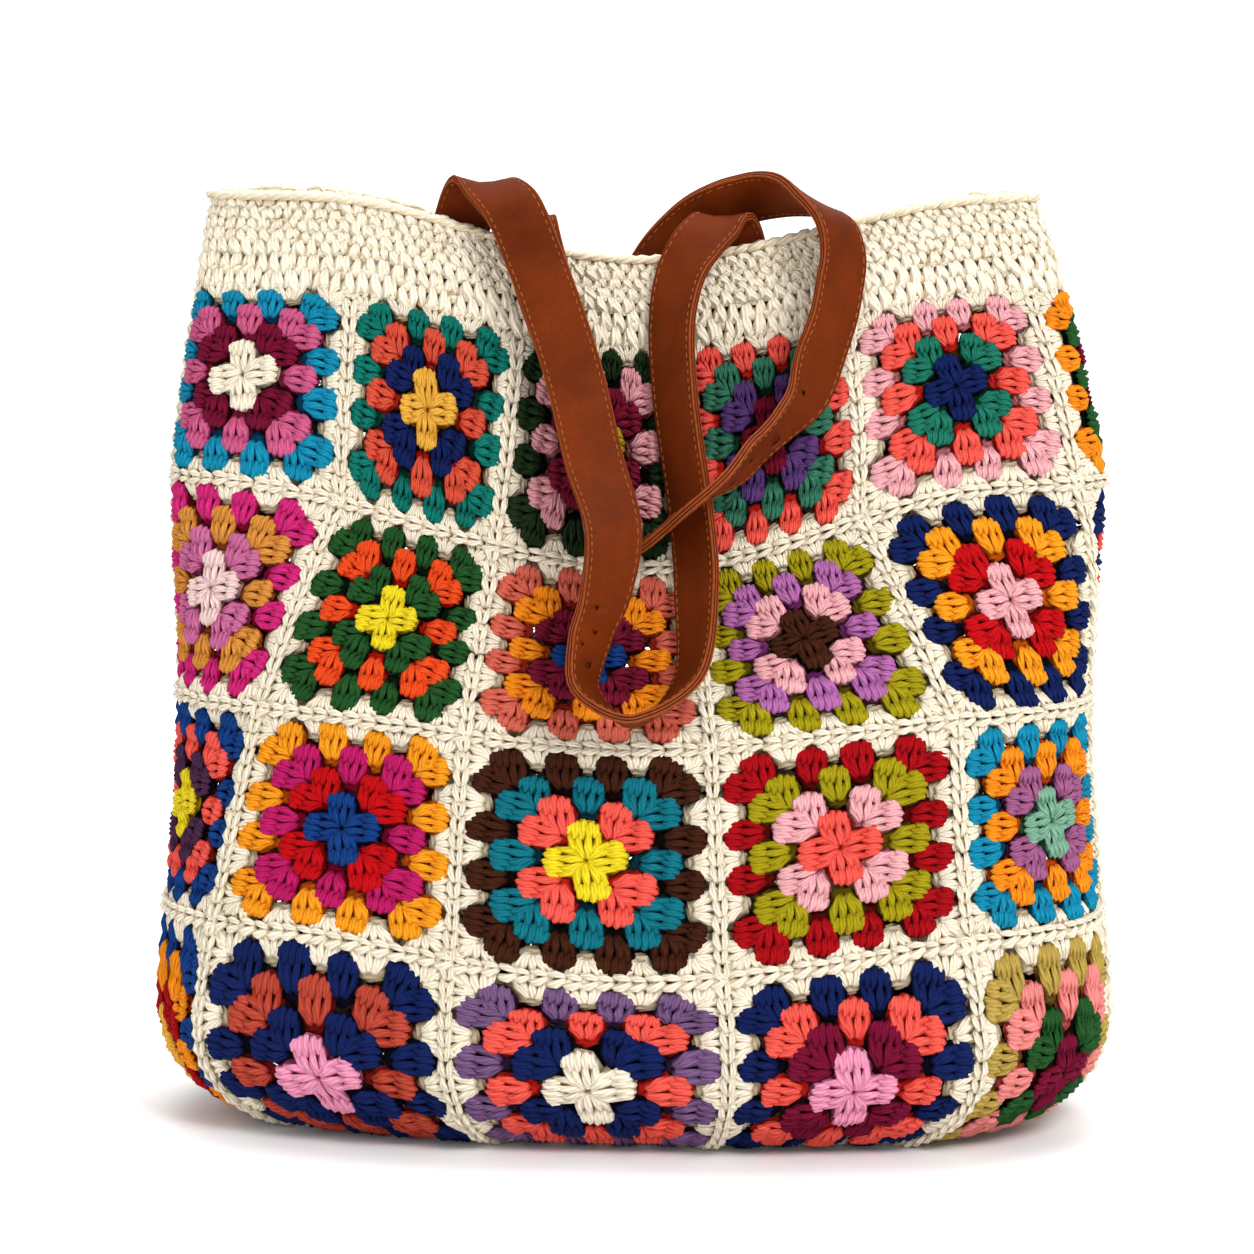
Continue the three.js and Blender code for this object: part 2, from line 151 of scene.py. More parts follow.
def linear(code):
    """Turns an sRGB hex colour into the linear colour that Blender works in."""
    parts = [int(code[k:k + 2], 16) / 255 for k in (0, 2, 4)]
    light = [part / 12.92 if part <= 0.04045 else ((part + 0.055) / 1.055) ** 2.4 for part in parts]
    return (*light, 1.0)


def add_node(tree, kind, inputs=None, **settings):
    """Adds a node with its settings, and fills its inputs with values or other nodes' outputs."""
    node = tree.nodes.new(kind)
    for name, value in settings.items():
        setattr(node, name, value)
    for key, value in (inputs or {}).items():
        if isinstance(value, bpy.types.NodeSocket):
            tree.links.new(value, node.inputs[key])
        else:
            node.inputs[key].default_value = value
    return node


def start_material(name):
    """A new material and its empty node tree."""
    material = bpy.data.materials.new(name)
    material.use_nodes = True
    material.node_tree.nodes.clear()
    return material, material.node_tree


def add_object(name, data):
    """Puts an object with this data in the scene, at the origin."""
    item = bpy.data.objects.new(name, data)
    bpy.context.scene.collection.objects.link(item)
    return item


def level_value(name, rows):
    """A smooth curve through one column of LEVELS."""
    values = np.array([level[name] for level in LEVELS], float)
    slopes = np.gradient(values)
    at = np.clip(rows, 0, len(values) - 1)
    i = np.minimum(at.astype(int), len(values) - 2)
    t = at - i
    start = (2 * t**3 - 3 * t**2 + 1) * values[i] + (t**3 - 2 * t**2 + t) * slopes[i]
    return start + (3 * t**2 - 2 * t**3) * values[i + 1] + (t**3 - t**2) * slopes[i + 1]


def sections(rows):
    """The wall's sections at these rows. The last row goes down and turns under the bag."""
    section = {name: level_value(name, rows) for name in LEVELS[0]}
    way = np.maximum(rows - SQUARE_ROWS, 0)
    down = np.minimum(way / FOOT_WALL_PART, 1)
    turn = np.maximum((way - FOOT_WALL_PART) / (1 - FOOT_WALL_PART), 0) * math.pi / 2
    widening = down * (2 - down)
    inset = 1 - np.cos(turn)
    height = section["height"] * SQUARES_HEIGHT
    section["height"] = height + (FOOT_HEIGHT - height) * down - FOOT_HEIGHT * np.sin(turn)
    for side, size, foot_inset in (("width", BAG_WIDTH, FOOT_INSET_X), ("depth", BAG_DEPTH, FOOT_INSET_Y)):
        half = section[side] * size / 2
        section[side] = half + (size / 2 - half) * widening - foot_inset * inset
    section["hang"] = 1 - down * down * (3 - 2 * down)
    return section


def settle(section, x, y):
    """Moves points of a plain section to where the soft wall is: leaning, sagging and dented."""
    aside = x / (BAG_WIDTH / 2) - SAG_CENTRE
    away = np.minimum(np.abs(aside) / np.where(aside < 0, section["reach"], SAG_REACH), 1)
    middle = np.cos(away * math.pi / 2) ** 2
    front = 0.5 - 0.5 * np.tanh(3 * y / section["depth"])
    sag = section["sag"] * front + section["back_sag"] * (1 - front)
    lean = section["lean"] * BAG_WIDTH / 2
    dent = section["dent"] * BAG_HEIGHT * middle * front
    drop = sag * BAG_HEIGHT * middle * section["hang"]
    return np.stack([x + lean, y + dent, section["height"] - drop], axis=-1)


# The wall as a fine grid of points, with its outward direction at each, to lay stitches on.
GRID_STEP = 1 / 16
GRID_ABOVE = 4
GRID_ROUND = 960
OUTLINE_STEPS = 480
grid_rows = np.arange(0, FOOT_ROW + GRID_STEP / 2, GRID_STEP)[:, None]
grid_section = sections(grid_rows)
grid_angle = (np.arange(OUTLINE_STEPS + 1)[None, :] / OUTLINE_STEPS - 0.25) * 2 * math.pi
boxiness = 2 / grid_section["square"]
grid_across = np.sign(np.cos(grid_angle)) * np.abs(np.cos(grid_angle)) ** boxiness
grid_deep = np.sign(np.sin(grid_angle)) * np.abs(np.sin(grid_angle)) ** boxiness
grid_x = grid_across * grid_section["width"]
grid_y = grid_deep * (1 - grid_section["skew"] * grid_across) * grid_section["depth"]
grid_way = np.hypot(np.diff(grid_x), np.diff(grid_y)).cumsum(axis=1)
grid_way = np.concatenate([np.zeros((len(grid_rows), 1)), grid_way], axis=1)
round_share = np.arange(GRID_ROUND) / GRID_ROUND
even_x = np.stack([np.interp(round_share * way[-1], way, x) for way, x in zip(grid_way, grid_x)])
even_y = np.stack([np.interp(round_share * way[-1], way, y) for way, y in zip(grid_way, grid_y)])
wall_points = settle(grid_section, even_x, even_y)
above = [wall_points[0] + k * (wall_points[0] - wall_points[1]) for k in range(GRID_ABOVE, 0, -1)]
wall_points = np.concatenate([np.stack(above), wall_points])
wall_down = np.gradient(wall_points, axis=0)
wall_right = np.roll(wall_points, -1, axis=1) - np.roll(wall_points, 1, axis=1)
wall_out = np.cross(wall_right, -wall_down)
wall_out /= np.linalg.norm(wall_out, axis=-1, keepdims=True)


def on_wall(row, share, out):
    """Points of the wall at these rows and shares of the way round, out from its outer face."""
    i = np.clip(np.asarray(row) / GRID_STEP + GRID_ABOVE, 0, len(wall_points) - 1.001)
    j = np.mod(share, 1) * GRID_ROUND
    top = i.astype(int)
    left = j.astype(int) % GRID_ROUND
    right = (left + 1) % GRID_ROUND
    t = (i - top)[:, None]
    u = (j - np.floor(j))[:, None]
    result = 0
    for values, weight in ((wall_points, 1), (wall_out, np.asarray(out)[:, None])):
        high = values[top, left] * (1 - u) + values[top, right] * u
        low = values[top + 1, left] * (1 - u) + values[top + 1, right] * u
        result = result + weight * (high * (1 - t) + low * t)
    return result


def seam_share(column, row):
    """Where the seam on the right of a column lies. Column 0 is the last one, a turn earlier."""
    seam = [places[(column - 1) % COLUMNS] for places in SEAMS.values()]
    return np.interp(row, range(FOOT_ROW + 1), seam) + (column - 1) // COLUMNS


# A strand of yarn where it shows between two loops: a short bent spindle.
STRAND_SIDES = 5
STRAND_RINGS = [{"at": 0.13, "thick": 0.7}, {"at": 0.5, "thick": 1.0}, {"at": 0.87, "thick": 0.7}]


def strand(start, end, bend=0.0, lift=0.0, width=4.0, height=4.0, rings=STRAND_RINGS, sides=STRAND_SIDES):
    """One strand in millimetres: its points, its faces and a (length, round) place for each point."""
    start = np.array(start, float)
    end = np.array(end, float)
    along = end - start
    length = np.linalg.norm(along)
    side = np.cross((0, 0, 1), along / length)
    side /= np.linalg.norm(side)
    points = [start]
    places = [(0.0, 0.5)]
    for ring in rings:
        bow = 4 * ring["at"] * (1 - ring["at"])
        middle = start + along * ring["at"] + side * bend * bow + np.array((0, 0, lift * bow))
        for k in range(sides):
            angle = 2 * math.pi * (k + 0.25) / sides
            reach = side * math.cos(angle) * width + np.array((0, 0, math.sin(angle) * height))
            points.append(middle + reach * ring["thick"] / 2)
            places.append((ring["at"] * length, k / sides))
    points.append(end)
    places.append((length, 0.5))
    faces = []
    last = 1 + (len(rings) - 1) * sides
    for k in range(sides):
        n = (k + 1) % sides
        faces.append((0, 1 + n, 1 + k))
        faces.append((len(points) - 1, last + k, last + n))
        for ring in range(len(rings) - 1):
            a = 1 + ring * sides
            b = a + sides
            faces.append((a + k, a + n, b + n, b + k))
    return points, faces, places


def stitch_object(name, strands):
    """Joins strands to one stitch, as an object to instance."""
    points = []
    faces = []
    places = []
    for strand_points, strand_faces, strand_places in strands:
        first = len(points)
        points.extend(strand_points)
        places.extend(strand_places)
        faces.extend([tuple(first + k for k in face) for face in strand_faces])
    mesh = bpy.data.meshes.new(name)
    mesh.from_pydata([tuple(point * MM) for point in np.array(points)], [], faces)
    layer = mesh.uv_layers.new(name="strand")
    # A face that crosses the strand's seam takes its low places one turn further on.
    for polygon in mesh.polygons:
        turns = [places[mesh.loops[k].vertex_index][1] for k in polygon.loop_indices]
        wraps = max(turns) - min(turns) > 0.7
        for k, turn in zip(polygon.loop_indices, turns):
            layer.data[k].uv = (places[mesh.loops[k].vertex_index][0], turn + (wraps and turn < 0.3))
    mesh.shade_smooth()
    return add_object(name, mesh)


# The strands of a cluster. from, to: across, as shares of half its width, and up, as shares of its
# length. bend: sideways, lift: how far it stands up in the middle, deep: how far its end is set
# out, both in millimetres.
CLUSTER_LENGTH = 19.8
CLUSTER_HALF = 8.8
CLUSTER_STRANDS = [
    {"from": (-0.08, -0.08), "to": (-0.76, 0.74), "bend": 1.9, "lift": 0.9, "deep": -0.3},
    {"from": (0.08, -0.08), "to": (0.78, 0.78), "bend": -1.9, "lift": 0.9, "deep": -0.3},
    {"from": (-0.10, -0.04), "to": (-0.36, 0.62), "bend": 0.7, "lift": 1.4, "deep": 0.1},
    {"from": (0.06, -0.04), "to": (0.20, 0.64), "bend": -0.4, "lift": 1.6, "deep": 0.4},
    {"from": (-0.88, 0.60), "to": (-0.44, 0.97), "bend": 0.6, "lift": 1.0, "deep": 0.6},
    {"from": (-0.58, 0.46), "to": (-0.22, 1.00), "bend": 0.4, "lift": 1.0, "deep": 0.9},
    {"from": (-0.22, 0.44), "to": (0.12, 1.04), "bend": 0.4, "lift": 1.0, "deep": 1.0},
    {"from": (0.16, 0.42), "to": (0.50, 0.98), "bend": 0.4, "lift": 1.0, "deep": 0.9},
    {"from": (0.52, 0.48), "to": (0.78, 0.90), "bend": 0.5, "lift": 1.0, "deep": 0.6},
]
CLUSTER_STRAND_WIDTH = 4.2
ROOT_PART = 0.4
ROOT_DEEP = 0.5
# The full heart of yarn behind the strands. up: a share of the cluster's length, out: millimetres.
HEART_FROM = {"up": -0.28, "out": -1.8}
HEART_TO = {"up": 1.04, "out": -1.6}
HEART_WIDTH = 2.3
HEART_HEIGHT = 2.4
HEART_RINGS = [{"at": 0.12, "thick": 0.64}, {"at": 0.58, "thick": 1.0}, {"at": 0.89, "thick": 0.72}]
EDGE_LENGTH = 13.4
EDGE_HALF = 11.8
EDGE_STRANDS = [
    {"from": (-0.10, -0.04), "to": (-0.92, 0.98), "bend": 0.4, "lift": 0.8, "deep": -0.2},
    {"from": (0.10, -0.04), "to": (0.92, 0.98), "bend": -0.4, "lift": 0.8, "deep": -0.2},
    {"from": (-0.08, -0.02), "to": (-0.52, 0.90), "bend": 0.3, "lift": 1.1, "deep": 0.2},
    {"from": (0.08, -0.02), "to": (0.52, 0.90), "bend": -0.3, "lift": 1.1, "deep": 0.2},
    {"from": (0.00, 0.00), "to": (0.02, 0.86), "bend": 0.2, "lift": 1.2, "deep": 0.4},
    {"from": (-0.80, 0.72), "to": (-0.30, 1.06), "bend": 0.4, "lift": 0.7, "deep": 0.9},
    {"from": (-0.24, 0.70), "to": (0.24, 1.06), "bend": 0.4, "lift": 0.7, "deep": 0.9},
    {"from": (0.32, 0.72), "to": (0.82, 1.04), "bend": 0.4, "lift": 0.7, "deep": 0.9},
]


def cluster(name, rows, half, length):
    """A cluster of stitches that fans out from its base, pointing up +Y, round a full heart of yarn."""
    heart = [(0, end["up"] * length, end["out"]) for end in (HEART_FROM, HEART_TO)]
    strands = [strand(*heart, width=HEART_WIDTH * half, height=HEART_HEIGHT, rings=HEART_RINGS)]
    for row in rows:
        start = (row["from"][0] * half, row["from"][1] * length, row["deep"] * ROOT_PART - ROOT_DEEP)
        end = (row["to"][0] * half, row["to"][1] * length, row["deep"])
        strands.append(strand(start, end, row["bend"], row["lift"], width=CLUSTER_STRAND_WIDTH))
    return stitch_object(name, strands)


# The node group that lays any row of stitches: it puts a stitch on each place, a little unevenly.
crochet = bpy.data.node_groups.new("crochet", "GeometryNodeTree")
SOCKETS = {
    "Places": "NodeSocketGeometry",
    "Stitch": "NodeSocketObject",
    "Edge stitch": "NodeSocketObject",
    "Shift": "NodeSocketFloat",
    "Twist": "NodeSocketFloat",
    "Swell": "NodeSocketFloat",
    "Seed": "NodeSocketInt",
    "Material": "NodeSocketMaterial",
}
for socket_name, socket_type in SOCKETS.items():
    crochet.interface.new_socket(name=socket_name, in_out="INPUT", socket_type=socket_type)
crochet.interface.new_socket(name="Crochet", in_out="OUTPUT", socket_type="NodeSocketGeometry")
entry = add_node(crochet, "NodeGroupInput").outputs
any_way = add_node(
    crochet, "FunctionNodeRandomValue",
    {0: (-1, -1, -1), 1: (1, 1, 1), "Seed": entry["Seed"]}, data_type="FLOAT_VECTOR",
).outputs[0]
shift = add_node(
    crochet, "ShaderNodeVectorMath", {0: any_way, "Scale": entry["Shift"]}, operation="SCALE",
).outputs[0]
moved = add_node(crochet, "GeometryNodeSetPosition", {"Geometry": entry["Places"], "Offset": shift})
turn = add_node(crochet, "GeometryNodeInputNamedAttribute", {"Name": "turn"}, data_type="FLOAT").outputs[0]
random_part = add_node(crochet, "ShaderNodeSeparateXYZ", {0: any_way}).outputs
twist = add_node(
    crochet, "ShaderNodeMath", {0: random_part[2], 1: entry["Twist"], 2: turn}, operation="MULTIPLY_ADD",
).outputs[0]
turned = add_node(crochet, "ShaderNodeCombineXYZ", {"Z": twist}).outputs[0]
rotation = add_node(crochet, "FunctionNodeEulerToRotation", {0: turned}).outputs[0]
swell = add_node(
    crochet, "ShaderNodeMath", {0: random_part[0], 1: entry["Swell"], 2: 1.0}, operation="MULTIPLY_ADD",
).outputs[0]
size = add_node(
    crochet, "GeometryNodeInputNamedAttribute", {"Name": "size"}, data_type="FLOAT_VECTOR",
).outputs[0]
scaled = add_node(crochet, "ShaderNodeVectorMath", {0: size, "Scale": swell}, operation="SCALE").outputs[0]
at_edge = add_node(
    crochet, "GeometryNodeInputNamedAttribute", {"Name": "edge"}, data_type="BOOLEAN",
).outputs[0]
not_edge = add_node(crochet, "FunctionNodeBooleanMath", {0: at_edge}, operation="NOT").outputs[0]
both = add_node(crochet, "GeometryNodeJoinGeometry")
for wanted, choice in (("Stitch", not_edge), ("Edge stitch", at_edge)):
    source = add_node(crochet, "GeometryNodeObjectInfo", {"Object": entry[wanted], "As Instance": True})
    laid = add_node(
        crochet, "GeometryNodeInstanceOnPoints",
        {"Points": moved.outputs[0], "Selection": choice, "Instance": source.outputs["Geometry"],
         "Rotation": rotation, "Scale": scaled},
    )
    crochet.links.new(laid.outputs[0], both.inputs[0])
real = add_node(crochet, "GeometryNodeRealizeInstances", {0: both.outputs[0]})
dyed = add_node(
    crochet, "GeometryNodeSetMaterial", {"Geometry": real.outputs[0], "Material": entry["Material"]},
)
add_node(crochet, "NodeGroupOutput", {0: dyed.outputs[0]})
SOCKET_IDS = {
    item.name: item.identifier for item in crochet.interface.items_tree if item.in_out == "INPUT"
}


def lay(name, places, inputs):
    """Lays stitches on flat places and returns the mesh. Each place is x, y, z, turn, size, edge, part."""
    places = np.array(places, float)
    mesh = bpy.data.meshes.new(name)
    mesh.from_pydata([tuple(point) for point in places[:, :3] * MM], [], [])
    mesh.attributes.new("turn", "FLOAT", "POINT").data.foreach_set("value", places[:, 3].copy())
    sizes = places[:, 4:7].ravel().copy()
    mesh.attributes.new("size", "FLOAT_VECTOR", "POINT").data.foreach_set("vector", sizes)
    edges = places[:, 7] > 0
    mesh.attributes.new("edge", "BOOLEAN", "POINT").data.foreach_set("value", edges)
    parts = places[:, 8].astype(np.int32)
    mesh.attributes.new("part", "INT", "POINT").data.foreach_set("value", parts)
    holder = add_object(name, mesh)
    modifier = holder.modifiers.new("crochet", "NODES")
    modifier.node_group = crochet
    for key, value in inputs.items():
        modifier[SOCKET_IDS[key]] = value
    depsgraph = bpy.context.evaluated_depsgraph_get()
    laid_mesh = bpy.data.meshes.new_from_object(
        holder.evaluated_get(depsgraph), preserve_all_data_layers=True, depsgraph=depsgraph,
    )
    bpy.data.objects.remove(holder)
    bpy.data.meshes.remove(mesh)
    return laid_mesh


# Painted shade in the cloth: heights in it, in millimetres, and how much darker the yarn is painted at the
# darkest one, where loops shade each other.
DARKEST_HEIGHT = -0.9
DARK_REACH = 2.2
DEEPENING = 1.1
DIMMING = 0.3
PETAL_DIMMING = 0.5


def flat_points(mesh):
    """The mesh's points as an array, in metres."""
    points = np.empty(len(mesh.vertices) * 3, np.float32)
    mesh.vertices.foreach_get("co", points)
    return points.reshape(-1, 3).astype(float)


def shaded(colours, height, dimming=DIMMING):
    """Yarn colours with painted shade: deeper and darker in the middle of the cloth, where light goes from
    loop to loop.
    """
    depth = 1 - np.clip(np.abs(height / MM - DARKEST_HEIGHT) / DARK_REACH, 0, 1)[:, None]
    return colours ** (1 + DEEPENING * depth) * (1 - dimming * depth)


def finish_piece(name, mesh, points, colours, nodes):
    """Puts the stitches in place, colours their yarn with its dye and painted shade if it is dyed, and hands
    them to the frame.
    """
    points[:, 2] = np.maximum(points[:, 2], 0)
    mesh.vertices.foreach_set("co", points.astype(np.float32).ravel())
    for spare in ("turn", "size", "edge", "part"):
        if spare in mesh.attributes:
            mesh.attributes.remove(mesh.attributes[spare])
    # The colours hold the yarn's dye with painted shade deep in the cloth.
    if colours is not None:
        layer = mesh.color_attributes.new("yarn_colour_and_shade", "FLOAT_COLOR", "POINT")
        layer.data.foreach_set("color", colours.astype(np.float32).ravel())
    mesh.shade_smooth()
    mesh.update()
    mesh.name = name
    piece = add_object(name, mesh)
    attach(piece, "root")
    if nodes:
        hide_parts(*nodes)
    return piece


# Matt worsted cotton: plies twisted together, a little uneven in colour, with hardly any shine,
# and with painted shade where a strand dives under its neighbour. Its colour attribute holds the dye
# with painted shade deep in the cloth. Four plies twist round a strand, and along it the next one
# comes up every 8 mm. The fibres are drawn as specks of 0.4 mm, much coarser than real ones, so
# that they show, and the uneven dye has spots of 6 mm.
cotton, tree = start_material("cotton_yarn")
PLY_PITCH = 8.0
PLIES = 4
coords = add_node(tree, "ShaderNodeTexCoord").outputs
# The yarn's dye, with painted shade deep in the cloth.
dye_and_shade = add_node(tree, "ShaderNodeAttribute", attribute_name="yarn_colour_and_shade").outputs["Color"]
strand_place = add_node(tree, "ShaderNodeUVMap", uv_map="strand").outputs[0]
place_part = add_node(tree, "ShaderNodeSeparateXYZ", {0: strand_place}).outputs
along_ply = add_node(tree, "ShaderNodeMath", {0: place_part[0], 1: PLY_PITCH}, operation="DIVIDE")
ply_phase = add_node(
    tree, "ShaderNodeMath", {0: place_part[1], 1: float(PLIES), 2: along_ply.outputs[0]},
    operation="MULTIPLY_ADD",
)
ply_angle = add_node(tree, "ShaderNodeMath", {0: ply_phase.outputs[0], 1: 2 * math.pi}, operation="MULTIPLY")
ply_wave = add_node(tree, "ShaderNodeMath", {0: ply_angle.outputs[0]}, operation="COSINE").outputs[0]
fibre = add_node(
    tree, "ShaderNodeTexNoise", {"Vector": coords["Object"], "Scale": 2600.0, "Detail": 3.0},
).outputs[0]
blotch = add_node(
    tree, "ShaderNodeTexNoise", {"Vector": coords["Object"], "Scale": 160.0, "Detail": 2.0},
).outputs[0]
relief = add_node(tree, "ShaderNodeMath", {0: fibre, 1: 1.1, 2: ply_wave}, operation="MULTIPLY_ADD")
bump = add_node(
    tree, "ShaderNodeBump", {"Strength": 0.8, "Distance": 0.0005, "Height": relief.outputs[0]},
).outputs[0]
# Painted shade: each strand darker in the troughs of its ply wave, where one ply dives under the next.
groove = add_node(
    tree, "ShaderNodeMapRange",
    {"Value": ply_wave, "From Min": -1.0, "From Max": 0.2, "To Min": 0.78, "To Max": 1.0},
).outputs[0]
fade = add_node(
    tree, "ShaderNodeMapRange",
    {"Value": blotch, "From Min": 0.3, "From Max": 0.7, "To Min": 0.92, "To Max": 1.06},
).outputs[0]
tint = add_node(tree, "ShaderNodeMath", {0: groove, 1: fade}, operation="MULTIPLY").outputs[0]
shade = add_node(tree, "ShaderNodeVectorMath", {0: dye_and_shade, "Scale": tint}, operation="SCALE").outputs[0]
cotton_shader = add_node(
    tree, "ShaderNodeBsdfPrincipled",
    {"Base Color": shade, "Roughness": 0.85, "Normal": bump, "Specular IOR Level": 0.1},
)
add_node(tree, "ShaderNodeOutputMaterial", {"Surface": cotton_shader.outputs[0]})

# The places of a square's clusters, as if it lay flat, and the yarn round of each.
SQUARE_HALF = 60.0
CLUSTER_STEP = 23.4
CORNER_SPREAD = 36.0
FIRST_ROUND_TURN = 9.0
FIRST_ROUND_OUT = 0.8
SIDE_OUT = 1.5
CORNER_OUT = 0.4
ROUNDS = 5
square_places = []
for quarter in range(4):
    corner = quarter * math.pi / 2
    turn_to = np.array([[math.cos(corner), -math.sin(corner)], [math.sin(corner), math.cos(corner)]])
    first_turn = math.radians(FIRST_ROUND_TURN)
    first_place = (-FIRST_ROUND_OUT * math.sin(first_turn), FIRST_ROUND_OUT * math.cos(first_turn))
    local = [(*first_place, first_turn, 1)]
    for round_number in range(2, ROUNDS + 1):
        reach = (round_number - 1) * CLUSTER_STEP / 2
        for k in range(1, round_number - 1):
            local.append((k * CLUSTER_STEP - reach, reach + SIDE_OUT, 0.0, round_number))
        for side in (-1, 1):
            aim = math.radians(-45 + side * CORNER_SPREAD)
            local.append((reach + CORNER_OUT, reach + CORNER_OUT, aim, round_number))
    for x, y, aim, round_number in local:
        place = turn_to @ np.array((x, y))
        last = round_number == ROUNDS
        square_places.append((*place, 0, aim + corner, 1, 1, 1, last, round_number - 1))

petal = cluster("petal", CLUSTER_STRANDS, CLUSTER_HALF, CLUSTER_LENGTH)
edge_petal = cluster("edge_petal", EDGE_STRANDS, EDGE_HALF, EDGE_LENGTH)
for square_row in range(1, SQUARE_ROWS + 1):
    for column in range(1, COLUMNS + 1):
        label = f"r{square_row}_c{column:02d}"
        mesh = lay(
            "places", square_places,
            {"Stitch": petal, "Edge stitch": edge_petal, "Shift": 0.0005, "Twist": 0.09, "Swell": 0.06,
             "Seed": square_row * COLUMNS + column, "Material": cotton},
        )
        part = np.empty(len(mesh.vertices), np.int32)
        mesh.attributes["part"].data.foreach_get("value", part)
        flat = flat_points(mesh) / (SQUARE_HALF * MM)
        row = square_row + 0.5 - flat[:, 1] / 2
        across = 0.5 + flat[:, 0] / 2
        share = seam_share(column - 1, row) * (1 - across) + seam_share(column, row) * across
        points = on_wall(row, share, flat[:, 2] * SQUARE_HALF * MM + WALL_MIDDLE)
        yarns = [*SQUARES[label].split(), "cream"]
        colours = np.array([linear(YARNS[yarn]) for yarn in yarns])[part]
        colours = shaded(colours, flat[:, 2] * SQUARE_HALF * MM, PETAL_DIMMING)
        finish_piece(f"crochet_{label}", mesh, points, colours, [f"square_{label}"])

# THE SEAMS BETWEEN THE SQUARES
# Slip stitches in cream cotton that join the squares' edges and stand up between them as a raised
# chain, ten down the bag and three round it.
CHAIN_PITCH = 7.0
CHAIN_OUT = 0.8
SEAM_RISE = 0.0015
SQUARE_ROW_HEIGHT = 0.095
link = stitch_object("link", [
    strand((-1.0, -1.8, -1.2), (8.6, -0.3, -0.3), bend=-0.8, lift=1.7, width=3.1, height=3.6),
    strand((-1.0, 1.8, -1.2), (8.4, 0.3, -0.3), bend=0.8, lift=1.7, width=3.1, height=3.6),
])
cream = np.array([linear(YARNS["cream"])])


def chain_places(length, pitch):
    """Places for a whole number of links along a line of this length, in millimetres."""
    count = max(round(length / pitch), 1)
    return [((k + 0.5) * length / count, 0, 0, 0, 1, 1, 1, 0, 0) for k in range(count)]


def way_along(points):
    """The length of the way to each of these points, in millimetres."""
    steps = np.linalg.norm(np.diff(points, axis=0), axis=1) / MM
    return np.concatenate([[0], steps.cumsum()])


chain_inputs = {"Stitch": link, "Edge stitch": link, "Shift": 0.0003, "Twist": 0.08, "Swell": 0.08,
                "Material": cotton}
SEAM_STEPS = 200
for column in range(1, COLUMNS + 1):
    rows = np.linspace(1, FOOT_ROW, SEAM_STEPS)
    way = way_along(on_wall(rows, seam_share(column, rows), rows * 0))
    mesh = lay("places", chain_places(way[-1], CHAIN_PITCH), {**chain_inputs, "Seed": column})
    flat = flat_points(mesh)
    row = np.interp(flat[:, 0] / MM, way, rows)
    girth = np.interp(row, grid_rows[:, 0], grid_way[:, -1])
    share = seam_share(column, row) + flat[:, 1] / girth
    points = on_wall(row, share, flat[:, 2] + (CHAIN_OUT * MM) + WALL_MIDDLE + SEAM_RISE)
    finish_piece(f"seam_down_{column:02d}", mesh, points, shaded(cream, flat[:, 2]), [])
for seam_row in range(2, SQUARE_ROWS + 1):
    shares = np.linspace(0.5, 1.5, SEAM_STEPS * 4)
    rows = shares * 0 + seam_row
    way = way_along(on_wall(rows, shares, rows * 0))
    mesh = lay("places", chain_places(way[-1], CHAIN_PITCH), {**chain_inputs, "Seed": 20 + seam_row})
    flat = flat_points(mesh)
    share = np.interp(flat[:, 0] / MM, way, shares)
    row = seam_row - flat[:, 1] / SQUARE_ROW_HEIGHT
    points = on_wall(row, share, flat[:, 2] + (CHAIN_OUT * MM) + WALL_MIDDLE + SEAM_RISE)
    finish_piece(f"seam_round_{seam_row}", mesh, points, shaded(cream, flat[:, 2]), [])

# THE BASE PANEL
# The plain oval of cream cotton that closes the bag underneath, hidden in the photo. It is worked
# to and fro in rows of double crochet, and the bottom squares' edges are sewn to it.
BASE_STEP_X = 7.5
BASE_STEP_Y = 7.0
BASE_HALF_X = 150.0
BASE_HALF_Y = 54.5
BASE_SQUARE = 2.6
BASE_FILL = 0.98
BASE_ROWS = 8
BASE_COLUMNS = 21
BASE_MIDDLE = 0.0025
base_stitch = stitch_object("base_stitch", [
    strand((0, -0.6, 0), (-3.0, 7.4, 0.3), lift=0.8, width=3.7, height=3.6),
    strand((0, -0.6, 0), (3.0, 7.4, 0.3), lift=0.8, width=3.7, height=3.6),
])
base_places = []
for k in range(-BASE_ROWS, BASE_ROWS + 1):
    for n in range(-BASE_COLUMNS, BASE_COLUMNS + 1):
        x = (n + 0.5 * (k % 2)) * BASE_STEP_X
        y = k * BASE_STEP_Y
        if (abs(x) / BASE_HALF_X) ** BASE_SQUARE + (abs(y) / BASE_HALF_Y) ** BASE_SQUARE < BASE_FILL:
            base_places.append((x, y - BASE_STEP_Y / 2, 0, 0, 1, 1, 1, 0, 0))
mesh = lay("places", base_places, {**chain_inputs, "Stitch": base_stitch, "Seed": 31})
flat = flat_points(mesh)
points = np.stack([-flat[:, 0], flat[:, 1], BASE_MIDDLE - flat[:, 2]], axis=1)
finish_piece("crochet_base", mesh, points, shaded(cream, flat[:, 2]), ["base_panel"])

